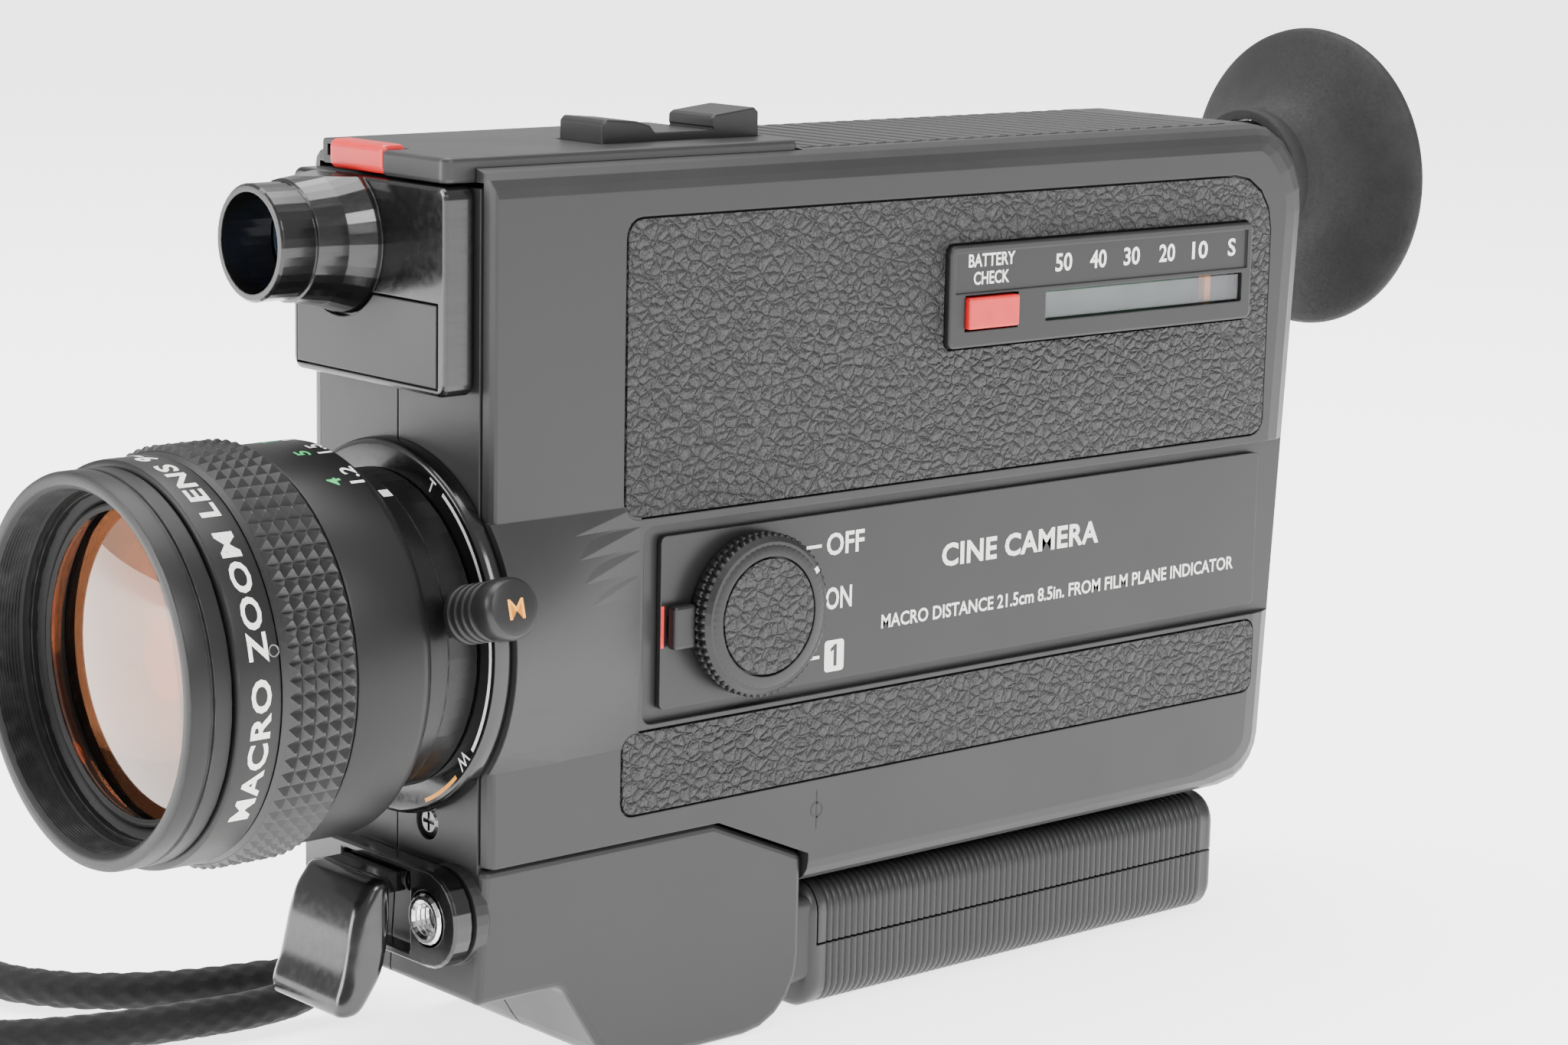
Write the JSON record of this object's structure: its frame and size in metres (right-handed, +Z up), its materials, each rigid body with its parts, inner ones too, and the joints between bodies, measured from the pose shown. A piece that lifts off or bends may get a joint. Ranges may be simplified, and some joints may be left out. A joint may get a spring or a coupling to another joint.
{
  "type": "cine camera",
  "caption": "Compact silent cine camera with zoom lens, folding battery grip, viewfinder with eyecup, control dial, film door and wrist strap.",
  "frame": {"origin": "middle of the camera's footprint, on the surface it stands on", "axes": "+Z up, -Y the way the lens points, +X towards the control side"},
  "size_m": [0.1027, 0.23, 0.1271],
  "materials": {
    "satin_black": "fine satin texture",
    "gloss_black": "polished",
    "leatherette": "pebbled grain",
    "lens_black": "semi-matt",
    "rubber_black": "matt",
    "red_plastic": "semi-gloss",
    "orange_plastic": "matt",
    "optical_glass": "coated",
    "clear_window": "clear moulded plastic",
    "bright_steel": "bright plated",
    "gear_brass": "machined",
    "white_plastic": "matt",
    "board_green": "lacquered",
    "cell_jacket": "printed sleeve",
    "black_braid": "braided"
  },
  "bodies": {
    "camera_body": {"front_left_casing": "satin_black", "front_right_casing": "satin_black", "left_cover": "satin_black", "right_cover": "satin_black", "top_plate": "satin_black", "top_rear_panel": "satin_black", "name_plate": "satin_black", "counter_plate": "satin_black", "control_plate": "satin_black", "film_chamber": "satin_black", "finder_block": "gloss_black", "trigger_housing": "gloss_black", "lens_base_ring": "gloss_black", "upper_leather": "leatherette", "lower_leather": "leatherette", "lens_barrel": "lens_black", "eyepiece_barrel": "lens_black", "finder_barrel": "lens_black", "rear_element": "optical_glass", "finder_front_lens": "optical_glass", "eyepiece_lens": "optical_glass", "counter_window": "clear_window", "strap_lug": "bright_steel", "trigger_pin": "bright_steel", "release_socket": "bright_steel", "screw_left": "bright_steel", "screw_right": "bright_steel", "door_hinge_pin": "bright_steel", "gate_plate": "bright_steel", "motor": "bright_steel", "grip_pin": "bright_steel", "circuit_board": "board_green", "strap": "black_braid"},
    "trigger": {"trigger": "gloss_black"},
    "filter_slider": {"filter_slider": "red_plastic"},
    "zoom_rocker": {"zoom_rocker": "satin_black"},
    "eyecup": {"eyecup": "rubber_black"},
    "counter_pointer": {"counter_pointer": "orange_plastic"},
    "battery_check_button": {"battery_check_button": "red_plastic"},
    "mode_dial": {"mode_dial": "satin_black", "dial_inlay": "leatherette"},
    "dial_lock_tab": {"dial_lock_tab": "satin_black"},
    "zoom": {"zoom_ring": "lens_black", "zoom_knob": "satin_black"},
    "focus": {"focus_ring": "lens_black", "filter_ring": "lens_black", "front_element": "optical_glass"},
    "film_door": {"film_door": "satin_black", "film_window": "clear_window"},
    "door_latch": {"door_latch": "satin_black"},
    "motor_pinion": {"motor_pinion": "gear_brass"},
    "idler_gear": {"idler_gear": "gear_brass"},
    "take_up_spindle": {"take_up_spindle": "white_plastic"},
    "shutter": {"shutter": "bright_steel"},
    "grip": {"grip_body": "satin_black", "battery_cell_1": "cell_jacket", "battery_cell_2": "cell_jacket", "battery_contacts": "bright_steel"},
    "battery_cover": {"battery_cover": "satin_black"}
  },
  "joints": [
    {"name": "focus_turn", "type": "hinge", "parent": "camera_body", "child": "focus", "pos_m": [-0.00206, -0.08475, 0.0575], "axis": [0, -1, 0], "range_deg": [0, 150]},
    {"name": "zoom_turn", "type": "hinge", "parent": "camera_body", "child": "zoom", "pos_m": [-0.00206, -0.06975, 0.0575], "axis": [0, -1, 0], "range_deg": [-66, 44]},
    {"name": "trigger_pull", "type": "hinge", "parent": "camera_body", "child": "trigger", "pos_m": [-0.00006, -0.06815, 0.0271], "axis": [1, 0, 0], "range_deg": [0, 8], "stiffness_Nm_per_rad": 0.3, "springref_deg": -2.86},
    {"name": "zoom_rock", "type": "hinge", "parent": "camera_body", "child": "zoom_rocker", "pos_m": [0.00234, -0.0277, 0.1154], "axis": [1, 0, 0], "range_deg": [-4, 4], "stiffness_Nm_per_rad": 0.3},
    {"name": "filter_slide", "type": "slide", "parent": "camera_body", "child": "filter_slider", "axis": [-1, 0, 0], "range_m": [0, 0.005]},
    {"name": "battery_check_press", "type": "slide", "parent": "camera_body", "child": "battery_check_button", "axis": [-1, 0, 0], "range_m": [0, 0.001], "stiffness_N_per_m": 400, "springref_m": -0.0005},
    {"name": "dial_turn", "type": "hinge", "parent": "camera_body", "child": "mode_dial", "pos_m": [0.01694, -0.02345, 0.0571], "axis": [1, 0, 0], "range_deg": [-54, 0]},
    {"name": "lock_slide", "type": "slide", "parent": "camera_body", "child": "dial_lock_tab", "axis": [0, -1, 0], "range_m": [0, 0.001]},
    {"name": "counter_slide", "type": "slide", "parent": "camera_body", "child": "counter_pointer", "axis": [0, -1, 0], "range_m": [-0.0025, 0.0315]},
    {"name": "eyecup_turn", "type": "hinge", "parent": "camera_body", "child": "eyecup", "pos_m": [-0.00806, 0.10225, 0.1045], "axis": [0, 1, 0], "range_deg": [-45, 45]},
    {"name": "grip_fold", "type": "hinge", "parent": "camera_body", "child": "grip", "pos_m": [-0.00206, -0.02675, 0.0145], "axis": [-1, 0, 0], "range_deg": [0, 90]},
    {"name": "battery_cover_slide", "type": "slide", "parent": "grip", "child": "battery_cover", "axis": [0, 1, 0], "range_m": [0, 0.012]},
    {"name": "door_open", "type": "hinge", "parent": "camera_body", "child": "film_door", "pos_m": [-0.02326, -0.01575, 0.0605], "axis": [0, 0, 1], "range_deg": [0, 110]},
    {"name": "latch_turn", "type": "hinge", "parent": "film_door", "child": "door_latch", "pos_m": [-0.02106, 0.05555, 0.0605], "axis": [-1, 0, 0], "range_deg": [0, 90]},
    {"name": "spindle_spin", "type": "hinge", "parent": "camera_body", "child": "take_up_spindle", "pos_m": [0.01134, 0.01925, 0.0605], "axis": [1, 0, 0], "continuous": true},
    {"name": "idler_spin", "type": "hinge", "parent": "camera_body", "child": "idler_gear", "pos_m": [0.01134, -0.01086, 0.08024], "axis": [1, 0, 0], "continuous": true},
    {"name": "motor_spin", "type": "hinge", "parent": "camera_body", "child": "motor_pinion", "pos_m": [0.01134, -0.03475, 0.0825], "axis": [1, 0, 0], "continuous": true},
    {"name": "shutter_spin", "type": "hinge", "parent": "camera_body", "child": "shutter", "pos_m": [-0.00206, -0.01725, 0.0655], "axis": [0, 1, 0], "continuous": true}
  ],
  "couplings": [
    {"joint": "idler_spin", "follows": "spindle_spin", "ratio": -1},
    {"joint": "motor_spin", "follows": "spindle_spin", "ratio": 3},
    {"joint": "shutter_spin", "follows": "spindle_spin", "ratio": 3}
  ]
}
